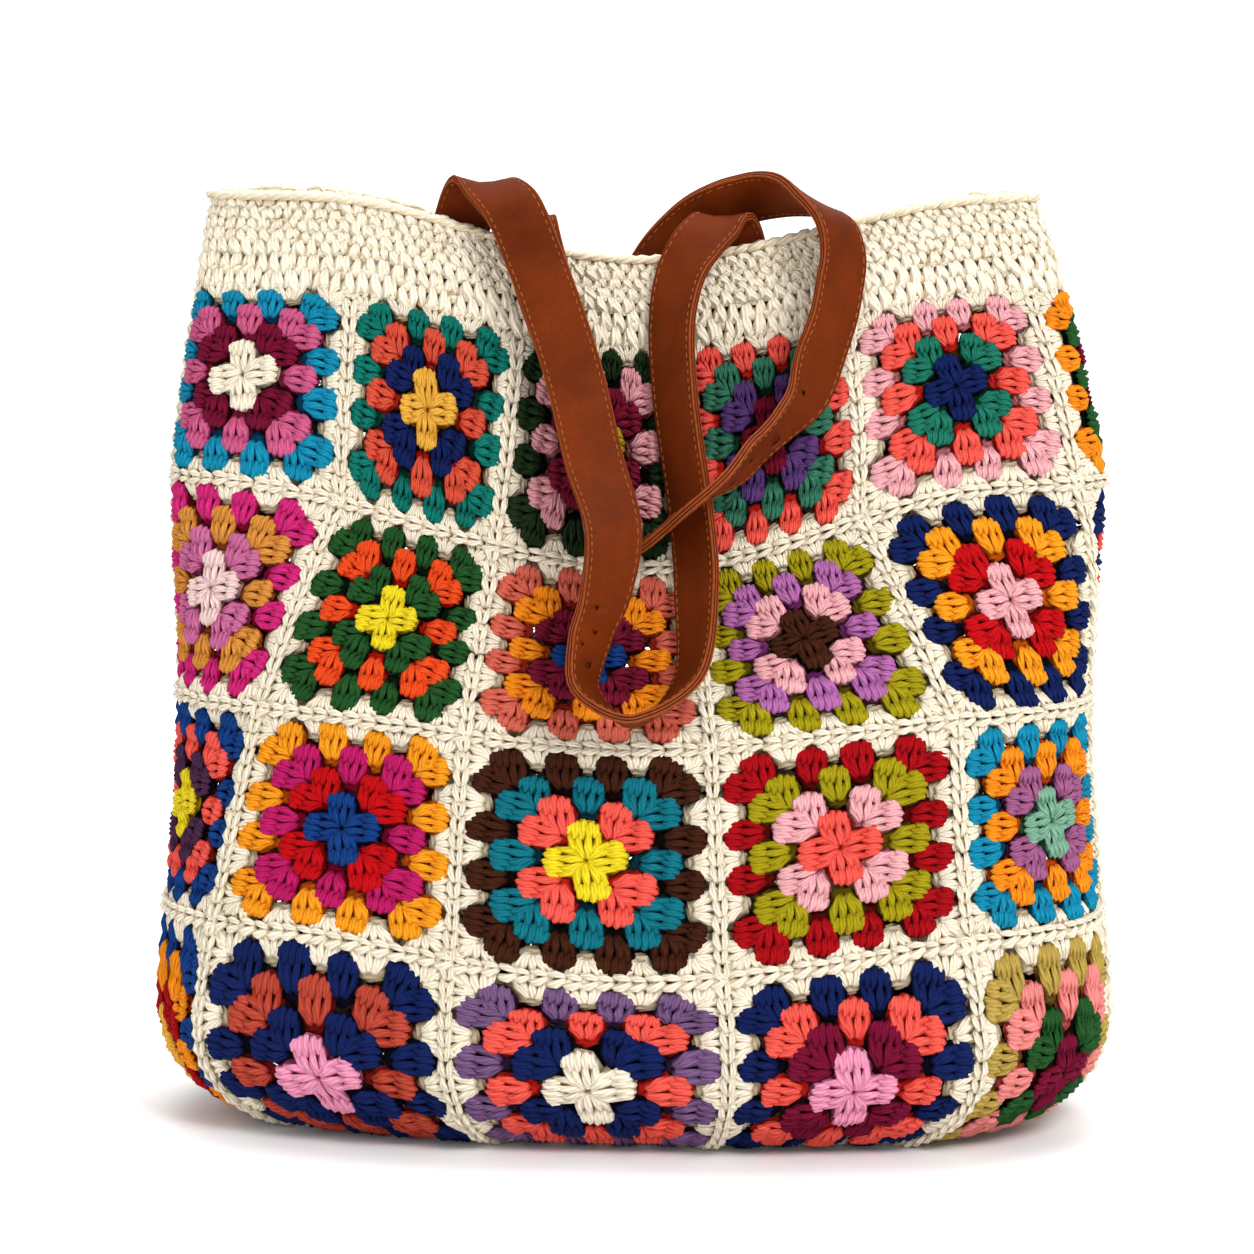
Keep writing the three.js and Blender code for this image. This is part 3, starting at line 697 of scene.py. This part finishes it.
# THE TOP BAND
# Seven rounds of single crochet in cream cotton, worked upwards from the squares' top edge. One low
# round has thinner bars, so that it shows as a line of small eyelets.
BAND_ROUNDS = 7
BAND_STITCHES = 130
BAND_STITCH_WIDTH = 6.0
BAND_STITCH_HEIGHT = 5.6
EYELET_ROUND = 1
BAND_ROUND_SHIFT = 0.35
BAND_RISE = 0.0004
band_strands = [
    strand((-0.5, -1.6, -0.9), (-2.5, 5.8, 0.2), bend=0.9, lift=1.3, width=4.5, height=3.8),
    strand((0.5, -1.6, -0.9), (2.5, 5.8, 0.2), bend=-0.9, lift=1.3, width=4.5, height=3.8),
]
band_bar = strand((-3.6, 5.0, -0.5), (3.6, 5.6, -0.5), lift=0.5, width=4.2, height=3.0)
eyelet_bar = strand((-3.6, 5.4, -0.5), (3.6, 5.6, -0.5), lift=0.5, width=2.6, height=2.6)
band_stitch = stitch_object("band_stitch", [*band_strands, band_bar])
eyelet_stitch = stitch_object("eyelet_stitch", [*band_strands, eyelet_bar])
band_places = []
for k in range(BAND_ROUNDS):
    for n in range(BAND_STITCHES):
        x = (n + BAND_ROUND_SHIFT * (k % 2)) * BAND_STITCH_WIDTH
        band_places.append((x, k * BAND_STITCH_HEIGHT, 0, 0, 1, 1, 1, k == EYELET_ROUND, 0))
mesh = lay("places", band_places, {
    **chain_inputs, "Stitch": band_stitch, "Edge stitch": eyelet_stitch, "Shift": 0.0008, "Twist": 0.3,
    "Swell": 0.12, "Seed": 32,
})
flat = flat_points(mesh) / MM
row = 1 - flat[:, 1] / (BAND_ROUNDS * BAND_STITCH_HEIGHT)
share = flat[:, 0] / (BAND_STITCHES * BAND_STITCH_WIDTH)
points = on_wall(row, share, flat[:, 2] * MM + WALL_MIDDLE + BAND_RISE)
finish_piece("crochet_band", mesh, points, shaded(cream, flat[:, 2] * MM), ["top_band"])

# THE RIM
# A last round of slip stitches in the same cream cotton along the band's top. Its long slanting
# loops lie over the edge to both sides.
RIM_LINKS = 118
RIM_PITCH = 6.2
RIM_SUNK = 0.0012
BAND_HEIGHT = 0.039
rim_link = stitch_object("rim_link", [
    strand((-1.5, -3.3, -1.0), (9.5, -0.9, 0.4), bend=-0.9, lift=0.8, width=4.2, height=4.6),
    strand((-1.5, 3.3, -1.0), (9.5, 0.9, 0.4), bend=0.9, lift=0.8, width=4.2, height=4.6),
])
rim_places = [(k * RIM_PITCH, 0, 0, 0, 1, 1, 1, 0, 0) for k in range(RIM_LINKS)]
mesh = lay("places", rim_places, {**chain_inputs, "Stitch": rim_link, "Edge stitch": rim_link, "Seed": 33})
flat = flat_points(mesh)
share = flat[:, 0] / MM / (RIM_LINKS * RIM_PITCH)
up = flat[:, 2] - RIM_SUNK
points = on_wall(-up / BAND_HEIGHT, share, -flat[:, 1] + WALL_MIDDLE)
finish_piece("crochet_rim", mesh, points, shaded(cream, flat[:, 2]), ["rim_edge"])
for stitch in (petal, edge_petal, link, base_stitch, band_stitch, eyelet_stitch, rim_link):
    bpy.data.objects.remove(stitch)

# THE STRAPS
# Two flat straps of reddish-brown leather, three layers thick, stitched along both edges in tan
# thread, with both ends sewn inside the band. The front one hangs down as a loop; the back one is
# thrown over the mouth, in front of one leg of the other and behind the other leg.
STRAP_WIDTH = 25.0
STRAP_HALF_THICK = 2.0
CLOTH_THICK = 5.0
RIM_WIDTH = 8.0
STRAP_GAP = 1.0
CLOTH_MIDDLE = -CLOTH_THICK / 2
# How far out the strap's middle lies where it hangs inside the band, and where it goes over the rim.
STRAP_INSIDE = -(CLOTH_THICK + RIM_WIDTH) / 2 - STRAP_GAP - STRAP_HALF_THICK
OVER_RIM = CLOTH_MIDDLE
STRAP_STEPS = 260
CURVE_STEPS = 4000
THREAD_PITCH = 3.7
THREAD_IN = 2.0
THREAD_OUT = 1.82
# The places that each strap passes, from one sewn end to the other. wall: -1 the front, 1 the back.
# across: shares of half the bag's width. up: shares of its height. out: mm from the wall's face.
# turn and rise: degrees that the strap's near edge is turned about the upright and lifted.
FRONT_STRAP = [
    (-1, -0.355, 0.86, STRAP_INSIDE, -87, 0),
    (-1, -0.347, 0.963, STRAP_INSIDE - 2, -87, 0),
    (-1, -0.305, 1.008, OVER_RIM, -90, 0),
    (-1, -0.233, 0.991, 13, -90, 0),
    (-1, -0.176, 0.931, 19, -90, 0),
    (-1, -0.095, 0.824, 25, -88, 0),
    (-1, -0.043, 0.733, 34, -80, 0),
    (-1, 0.002, 0.665, 42, -62, 0),
    (-1, -0.011, 0.6, 42, -47, 0),
    (-1, -0.04, 0.554, 37, -36, 0),
    (-1, -0.046, 0.507, 31, -18, 8),
    (-1, 0.045, 0.473, 25, 0, 15),
    (-1, 0.151, 0.51, 20, 26, 8),
    (-1, 0.162, 0.602, 15, 44, 0),
    (-1, 0.146, 0.674, 12, 47, 0),
    (-1, 0.109, 0.794, 12, 48, 0),
    (-1, 0.1, 0.872, 13, 50, 0),
    (-1, 0.119, 0.925, 12, 60, 0),
    (-1, 0.162, 0.96, 6, 80, 0),
    (-1, 0.2, 0.972, OVER_RIM, 90, 0),
    (-1, 0.226, 0.935, STRAP_INSIDE - 1.5, 88, 0),
    (-1, 0.23, 0.82, STRAP_INSIDE, 88, 0),
]
BACK_STRAP = [
    (1, 0.024, 0.82, STRAP_INSIDE, -90, 0),
    (1, 0.043, 0.91, STRAP_INSIDE - 1, -88, 12),
    (1, 0.119, 0.961, STRAP_INSIDE - 1, -70, 42),
    (1, 0.188, 0.985, -18, -45, 52),
    (-1, 0.247, 0.996, -14, -20, 52),
    (-1, 0.313, 1.001, -4, -10, 42),
    (-1, 0.36, 0.997, 5, -10, 24),
    (-1, 0.396, 0.989, 13, -15, 5),
    (-1, 0.43, 0.972, 18, -32, 0),
    (-1, 0.446, 0.941, 18, -42, 0),
    (-1, 0.439, 0.907, 18, -46, 0),
    (-1, 0.428, 0.876, 18, -46, 0),
    (-1, 0.403, 0.837, 19, -48, 0),
    (-1, 0.379, 0.799, 21, -40, 0),
    (-1, 0.333, 0.77, 26, -27, 0),
    (-1, 0.285, 0.745, 31, -22, 0),
    (-1, 0.236, 0.72, 38, -18, 0),
    (-1, 0.187, 0.7, 40, -10, 0),
    (-1, 0.112, 0.668, 25, 0, 0),
    (-1, 0.05, 0.642, 16, 0, 0),
    (-1, 0.002, 0.63, 14, 0, 0),
    (-1, -0.033, 0.645, 14, 8, 0),
    (-1, -0.045, 0.69, 13, 35, 0),
    (-1, -0.062, 0.735, 11, 65, 0),
    (-1, -0.1, 0.818, 9, 88, 0),
    (-1, -0.165, 0.905, 7, 90, 0),
    (-1, -0.19, 0.95, 6, 90, 0),
    (-1, -0.206, 0.973, OVER_RIM, 90, 0),
    (1, -0.222, 0.955, -17, 90, 0),
    (1, -0.232, 0.91, STRAP_INSIDE - 1, 90, 0),
    (1, -0.236, 0.82, STRAP_INSIDE, 90, 0),
]


def face_y(wall, x, z):
    """Where the wall's outer face is at these x and z, by halving the rows between rim and foot."""
    above = np.zeros(len(x))
    below = np.full(len(x), float(FOOT_ROW))
    for _ in range(30):
        row = (above + below) / 2
        section = sections(row)
        across = (x - section["lean"] * BAG_WIDTH / 2) / section["width"]
        deep = (1 - np.abs(across) ** section["square"]) ** (1 / section["square"])
        y = wall * deep * (1 - section["skew"] * across) * section["depth"]
        point = settle(section, across * section["width"], y)
        higher = point[:, 2] > z
        above = np.where(higher, row, above)
        below = np.where(higher, below, row)
    return point[:, 1]


def smooth_line(points, at):
    """A centripetal Catmull-Rom curve through points, at shares of the number of its spans."""
    padded = np.concatenate([[2 * points[0] - points[1]], points, [2 * points[-1] - points[-2]]])
    spans = len(points) - 1
    i = np.minimum((at * spans).astype(int), spans - 1)
    t = (at * spans - i)[:, None]
    p0, p1, p2, p3 = (padded[i + k] for k in range(4))
    steps = (p1 - p0, p2 - p1, p3 - p2)
    gaps = [np.maximum(np.linalg.norm(step, axis=1), 1e-9)[:, None] ** 0.5 for step in steps]
    first = ((p1 - p0) / gaps[0] - (p2 - p0) / (gaps[0] + gaps[1]) + (p2 - p1) / gaps[1]) * gaps[1]
    second = ((p2 - p1) / gaps[1] - (p3 - p1) / (gaps[1] + gaps[2]) + (p3 - p2) / gaps[2]) * gaps[1]
    curve = p1 + first * t + (3 * (p2 - p1) - 2 * first - second) * t**2
    return curve + (2 * (p1 - p2) + first + second) * t**3


def strap_course(rows):
    """The strap's middle, its near edge's direction and its face's, all along it."""
    table = np.array(rows, float).T
    wall, across, up, out, turn, rise = table
    x = across * BAG_WIDTH / 2
    z = up * BAG_HEIGHT
    places = np.stack([x, face_y(wall, x, z) + wall * out * MM, z], axis=1)
    turn = np.radians(turn)
    rise = np.radians(rise)
    edges = np.stack([np.sin(turn) * np.cos(rise), -np.cos(turn) * np.cos(rise), np.sin(rise)], axis=1)
    at = np.linspace(0, 1, CURVE_STEPS)
    way = way_along(smooth_line(places, at))
    even = np.interp(np.linspace(0, way[-1], STRAP_STEPS), way, at)
    middle = smooth_line(places, even)
    along = np.gradient(middle, axis=0)
    along /= np.linalg.norm(along, axis=1, keepdims=True)
    edge = smooth_line(edges, even)
    edge -= along * np.sum(edge * along, axis=1, keepdims=True)
    edge /= np.linalg.norm(edge, axis=1, keepdims=True)
    face = np.cross(edge, along)
    return {"way": np.linspace(0, way[-1], STRAP_STEPS), "middle": middle, "edge": edge, "face": face}


def on_strap(course, points):
    """Takes flat points, in millimetres along, across and out of the strap, to their real places."""
    parts = {}
    for key in ("middle", "edge", "face"):
        columns = [np.interp(points[:, 0], course["way"], course[key][:, k]) for k in range(3)]
        parts[key] = np.stack(columns, axis=1)
    return parts["middle"] + parts["edge"] * points[:, 1:2] * MM + parts["face"] * points[:, 2:3] * MM


# A quarter of the strap's outline, from the middle of its upper face to the middle of its edge, in
# millimetres: the stitching lies in a shallow channel, and grooves, painted dark as shade, part the
# three layers. Each corner says how far across and how far out it is, and of what kind the surface
# is there.
FACE = 0
CUT = 1
GROOVE = 2
QUARTER_OUTLINE = [
    (4.5, 2.0, FACE), (9.2, 2.0, FACE), (10.4, 1.75, FACE), (11.3, 1.95, FACE), (12.1, 1.85, CUT),
    (12.5, 1.4, CUT), (12.45, 0.95, CUT), (11.9, 0.65, GROOVE), (12.45, 0.35, CUT),
]

# Oiled reddish-brown leather: mottled in clouds of about 26 mm, finely grained, with a low shine
# that comes and goes. The grain of 0.7 mm is coarser than real grain, so that it shows.
leather, tree = start_material("brown_leather")
coords = add_node(tree, "ShaderNodeTexCoord").outputs
cloud = add_node(
    tree, "ShaderNodeTexNoise",
    {"Vector": coords["Object"], "Scale": 38.0, "Detail": 5.0, "Roughness": 0.6},
).outputs[0]
grain = add_node(
    tree, "ShaderNodeTexNoise",
    {"Vector": coords["Object"], "Scale": 1400.0, "Detail": 4.0, "Roughness": 0.6},
).outputs[0]
mottle = add_node(
    tree, "ShaderNodeMapRange", {"Value": cloud, "From Min": 0.2, "From Max": 0.8},
).outputs[0]
face_colour = add_node(
    tree, "ShaderNodeMix", {0: mottle, 6: linear("4e1c04"), 7: linear("722c07")}, data_type="RGBA",
).outputs[2]
speckle = add_node(
    tree, "ShaderNodeMapRange",
    {"Value": grain, "From Min": 0.3, "From Max": 0.7, "To Min": 0.8, "To Max": 1.12},
).outputs[0]
worn = add_node(
    tree, "ShaderNodeVectorMath", {0: face_colour, "Scale": speckle}, operation="SCALE",
).outputs[0]
shine = add_node(
    tree, "ShaderNodeMapRange",
    {"Value": cloud, "From Min": 0.3, "From Max": 0.7, "To Min": 0.5, "To Max": 0.65},
).outputs[0]
bump = add_node(tree, "ShaderNodeBump", {"Strength": 0.4, "Distance": 0.0003, "Height": grain}).outputs[0]
leather_shader = add_node(
    tree, "ShaderNodeBsdfPrincipled",
    {"Base Color": worn, "Roughness": shine, "Normal": bump, "Specular IOR Level": 0.05},
)
add_node(tree, "ShaderNodeOutputMaterial", {"Surface": leather_shader.outputs[0]})


def two_toned(name, noise, tones, surface, relief=None):
    """A material whose two tones run into each other like noise, with relief from it if wanted."""
    material, tree = start_material(name)
    coords = add_node(tree, "ShaderNodeTexCoord").outputs
    cloud = add_node(tree, "ShaderNodeTexNoise", {"Vector": coords["Object"], **noise}).outputs[0]
    colour = add_node(
        tree, "ShaderNodeMix", {0: cloud, 6: linear(tones[0]), 7: linear(tones[1])}, data_type="RGBA",
    ).outputs[2]
    inputs = {"Base Color": colour, **surface}
    if relief:
        inputs["Normal"] = add_node(tree, "ShaderNodeBump", {**relief, "Height": cloud}).outputs[0]
    shader = add_node(tree, "ShaderNodeBsdfPrincipled", inputs)
    add_node(tree, "ShaderNodeOutputMaterial", {"Surface": shader.outputs[0]})
    return material


# The cut edge of the same leather: paler and rougher, with its layers pressed together and fibres
# that fray in tufts of 2 mm.
cut_edge = two_toned(
    "leather_cut_edge", {"Scale": 500.0, "Detail": 4.0}, ("5e220a", "a04e20"),
    {"Roughness": 0.6, "Specular IOR Level": 0.08}, {"Strength": 0.5, "Distance": 0.0003},
)
# Painted shade for the groove where two layers of leather meet and for the walls of the punched
# holes: two dark tones in patches of 3 mm.
groove_shade = two_toned(
    "leather_groove", {"Scale": 300.0, "Detail": 3.0}, ("1f0a03", "5a230c"),
    {"Roughness": 0.8, "Specular IOR Level": 0.1},
)
# Waxed tan thread, in a darker and a lighter tone that change at random every 0.3 mm.
thread = two_toned(
    "tan_thread", {"Scale": 3000.0, "Detail": 2.0}, ("4e220e", "b8733f"),
    {"Roughness": 0.7, "Specular IOR Level": 0.1},
)
STRAP_MATERIALS = {FACE: leather, CUT: cut_edge, GROOVE: groove_shade}

# Small holes and slits punched through the straps, in millimetres along and across them.
PUNCH_SIDES = 12
PUNCH_DEPTH = 3.2
PUNCHED = {
    "front_handle": [
        {"way": 278, "across": 4.0, "long": 2.0, "wide": 1.5},
        {"way": 288, "across": 0.0, "long": 1.7, "wide": 1.7},
        {"way": 294, "across": 6.5, "long": 1.5, "wide": 1.5},
        {"way": 302, "across": -1.5, "long": 3.6, "wide": 1.3},
    ],
    "back_handle": [
        {"way": 230, "across": 4.5, "long": 2.5, "wide": 2.5},
        {"way": 252, "across": -4.0, "long": 5.2, "wide": 2.2},
        {"way": 269, "across": 1.5, "long": 2.2, "wide": 2.2},
        {"way": 280, "across": -4.5, "long": 4.4, "wide": 1.5},
        {"way": 291, "across": 1.0, "long": 2.2, "wide": 2.2},
        {"way": 302, "across": -1.5, "long": 3.8, "wide": 1.4},
    ],
}


def punch(piece, course, holes):
    """Cuts the holes through a strap with a cutter that follows its course."""
    points = []
    faces = []
    for hole in holes:
        first = len(points)
        for depth in (-PUNCH_DEPTH, PUNCH_DEPTH):
            for k in range(PUNCH_SIDES):
                angle = 2 * math.pi * k / PUNCH_SIDES
                way = hole["way"] + math.cos(angle) * hole["long"] / 2
                points.append((way, hole["across"] + math.sin(angle) * hole["wide"] / 2, depth))
        ring = range(first, first + PUNCH_SIDES)
        faces += [tuple(ring), tuple(k + PUNCH_SIDES for k in reversed(ring))]
        for k in range(PUNCH_SIDES):
            n = (k + 1) % PUNCH_SIDES
            faces.append((first + k, first + k + PUNCH_SIDES, first + n + PUNCH_SIDES, first + n))
    mesh = bpy.data.meshes.new("cutter")
    mesh.from_pydata([tuple(point) for point in on_strap(course, np.array(points))], [], faces)
    for material in STRAP_MATERIALS.values():
        mesh.materials.append(material)
    # The holes' walls take the dark groove leather, painted shade inside them.
    mesh.polygons.foreach_set("material_index", [GROOVE] * len(faces))
    cutter = add_object("cutter", mesh)
    cut = piece.modifiers.new("punch", "BOOLEAN")
    cut.operation = "DIFFERENCE"
    cut.solver = "EXACT"
    cut.object = cutter
    depsgraph = bpy.context.evaluated_depsgraph_get()
    cut_mesh = bpy.data.meshes.new_from_object(piece.evaluated_get(depsgraph), depsgraph=depsgraph)
    piece.modifiers.clear()
    piece.data = cut_mesh
    bpy.data.objects.remove(cutter)


THREAD_RINGS = [{"at": 0.2, "thick": 0.9}, {"at": 0.8, "thick": 0.9}]
sewn = stitch_object("sewn", [
    strand((-1.3, 0, 0), (1.3, 0, 0), width=0.62, height=0.6, rings=THREAD_RINGS, sides=4),
])
for handle, rows in (("front_handle", FRONT_STRAP), ("back_handle", BACK_STRAP)):
    course = strap_course(rows)
    length = course["way"][-1]
    outline = QUARTER_OUTLINE + [(across, -out, kind) for across, out, kind in reversed(QUARTER_OUTLINE)]
    outline += [(-across, out, kind) for across, out, kind in reversed(outline)]
    corners = len(outline)
    flat = [(way, across, out) for way in course["way"] for across, out, _ in outline]
    points = on_strap(course, np.array(flat))
    faces = []
    kinds = []
    for i in range(STRAP_STEPS - 1):
        near = i * corners
        far = near + corners
        for j in range(corners):
            k = (j + 1) % corners
            faces.append((near + j, near + k, far + k, far + j))
            sides = (outline[j][2], outline[k][2])
            kinds.append(GROOVE if GROOVE in sides else min(sides))
    faces.append(tuple(reversed(range(corners))))
    faces.append(tuple(range((STRAP_STEPS - 1) * corners, STRAP_STEPS * corners)))
    kinds += [CUT, CUT]
    mesh = bpy.data.meshes.new(f"leather_{handle}")
    mesh.from_pydata([tuple(point) for point in points], [], faces)
    for material in STRAP_MATERIALS.values():
        mesh.materials.append(material)
    mesh.polygons.foreach_set("material_index", kinds)
    mesh.shade_smooth()
    piece = add_object(f"leather_{handle}", mesh)
    punch(piece, course, PUNCHED[handle])
    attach(piece, "root")
    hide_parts(handle)
    thread_places = []
    for k in range(1, int(length / THREAD_PITCH)):
        for side in (-1, 1):
            for face in (-1, 1):
                across = side * (STRAP_WIDTH / 2 - THREAD_IN)
                thread_places.append((k * THREAD_PITCH, across, face * THREAD_OUT, 0, 1, 1, 1, 0, 0))
    mesh = lay("places", thread_places, {
        "Stitch": sewn, "Edge stitch": sewn, "Shift": 0.0001, "Twist": 0.12, "Swell": 0.06, "Seed": 40,
        "Material": thread,
    })
    points = on_strap(course, flat_points(mesh) / MM)
    finish_piece(f"thread_{handle}", mesh, points, None, [])
bpy.data.objects.remove(sewn)

# THE STUDIO
# A pale sweep of paper behind and under the bag, a large soft lamp from the upper right and an even
# white room.
SWEEP = [(-8.0, 0.0), (4.4, 0.0), (5.3, 0.15), (5.9, 0.55), (6.2, 1.3), (6.3, 6.0)]
SWEEP_HALF = 8.0
PAPER_WHITE = (0.9, 0.9, 0.9, 1)
PAPER_ROUGHNESS = 0.9
ROOM_WHITE = (1.0, 1.0, 1.0, 1)
ROOM_STRENGTH = 0.78
sweep_points = [(side * SWEEP_HALF, y, z) for y, z in SWEEP for side in (-1, 1)]
sweep_faces = [(2 * k, 2 * k + 1, 2 * k + 3, 2 * k + 2) for k in range(len(SWEEP) - 1)]
mesh = bpy.data.meshes.new("paper_sweep")
mesh.from_pydata(sweep_points, [], sweep_faces)
mesh.shade_smooth()
paper = bpy.data.materials.new("white_paper")
paper.use_nodes = True
paper.node_tree.nodes["Principled BSDF"].inputs["Base Color"].default_value = PAPER_WHITE
paper.node_tree.nodes["Principled BSDF"].inputs["Roughness"].default_value = PAPER_ROUGHNESS
mesh.materials.append(paper)
sweep = add_object("paper_sweep", mesh)

world = bpy.data.worlds.new("white_room")
world.use_nodes = True
world.node_tree.nodes["Background"].inputs["Color"].default_value = ROOM_WHITE
world.node_tree.nodes["Background"].inputs["Strength"].default_value = ROOM_STRENGTH
bpy.context.scene.world = world
bpy.context.scene.view_settings.view_transform = "Standard"

LAMPS = [
    {"name": "key", "place": (1.2, -1.8, 1.9), "aim": (0, 0, 0.2), "size": 0.9, "power": 46},
    {"name": "fill", "place": (-1.8, -1.6, 1.0), "aim": (0, 0, 0.2), "size": 1.6, "power": 6},
    {"name": "backdrop", "place": (0, 1.6, 5.0), "aim": (0, 5.0, 0.6), "size": 4.0, "power": 300},
]
for row in LAMPS:
    lamp = bpy.data.lights.new(row["name"], "AREA")
    lamp.size = row["size"]
    lamp.energy = row["power"]
    holder = add_object(row["name"], lamp)
    holder.location = row["place"]
    aim = Vector(row["aim"]) - holder.location
    holder.rotation_euler = aim.to_track_quat("-Z", "Y").to_euler()

# THE CAMERA
# The photograph's view: a long lens that stands two metres off, a little above the bag and a little
# to its right, and looks at the middle of the bag.
CAMERA_DISTANCE = 2.0
CAMERA_ROUND = math.radians(5)
CAMERA_UP = math.radians(8)
CAMERA_AIM = Vector((-0.0015, 0, 0.218))
CAMERA_ANGLE = math.radians(15.7)
camera = bpy.data.cameras.new("camera")
camera.angle = CAMERA_ANGLE
camera_object = add_object("camera", camera)
from_aim = Vector((
    math.sin(CAMERA_ROUND) * math.cos(CAMERA_UP),
    -math.cos(CAMERA_ROUND) * math.cos(CAMERA_UP),
    math.sin(CAMERA_UP),
))
camera_object.location = CAMERA_AIM + from_aim * CAMERA_DISTANCE
camera_object.rotation_euler = (-from_aim).to_track_quat("-Z", "Y").to_euler()
bpy.context.scene.camera = camera_object
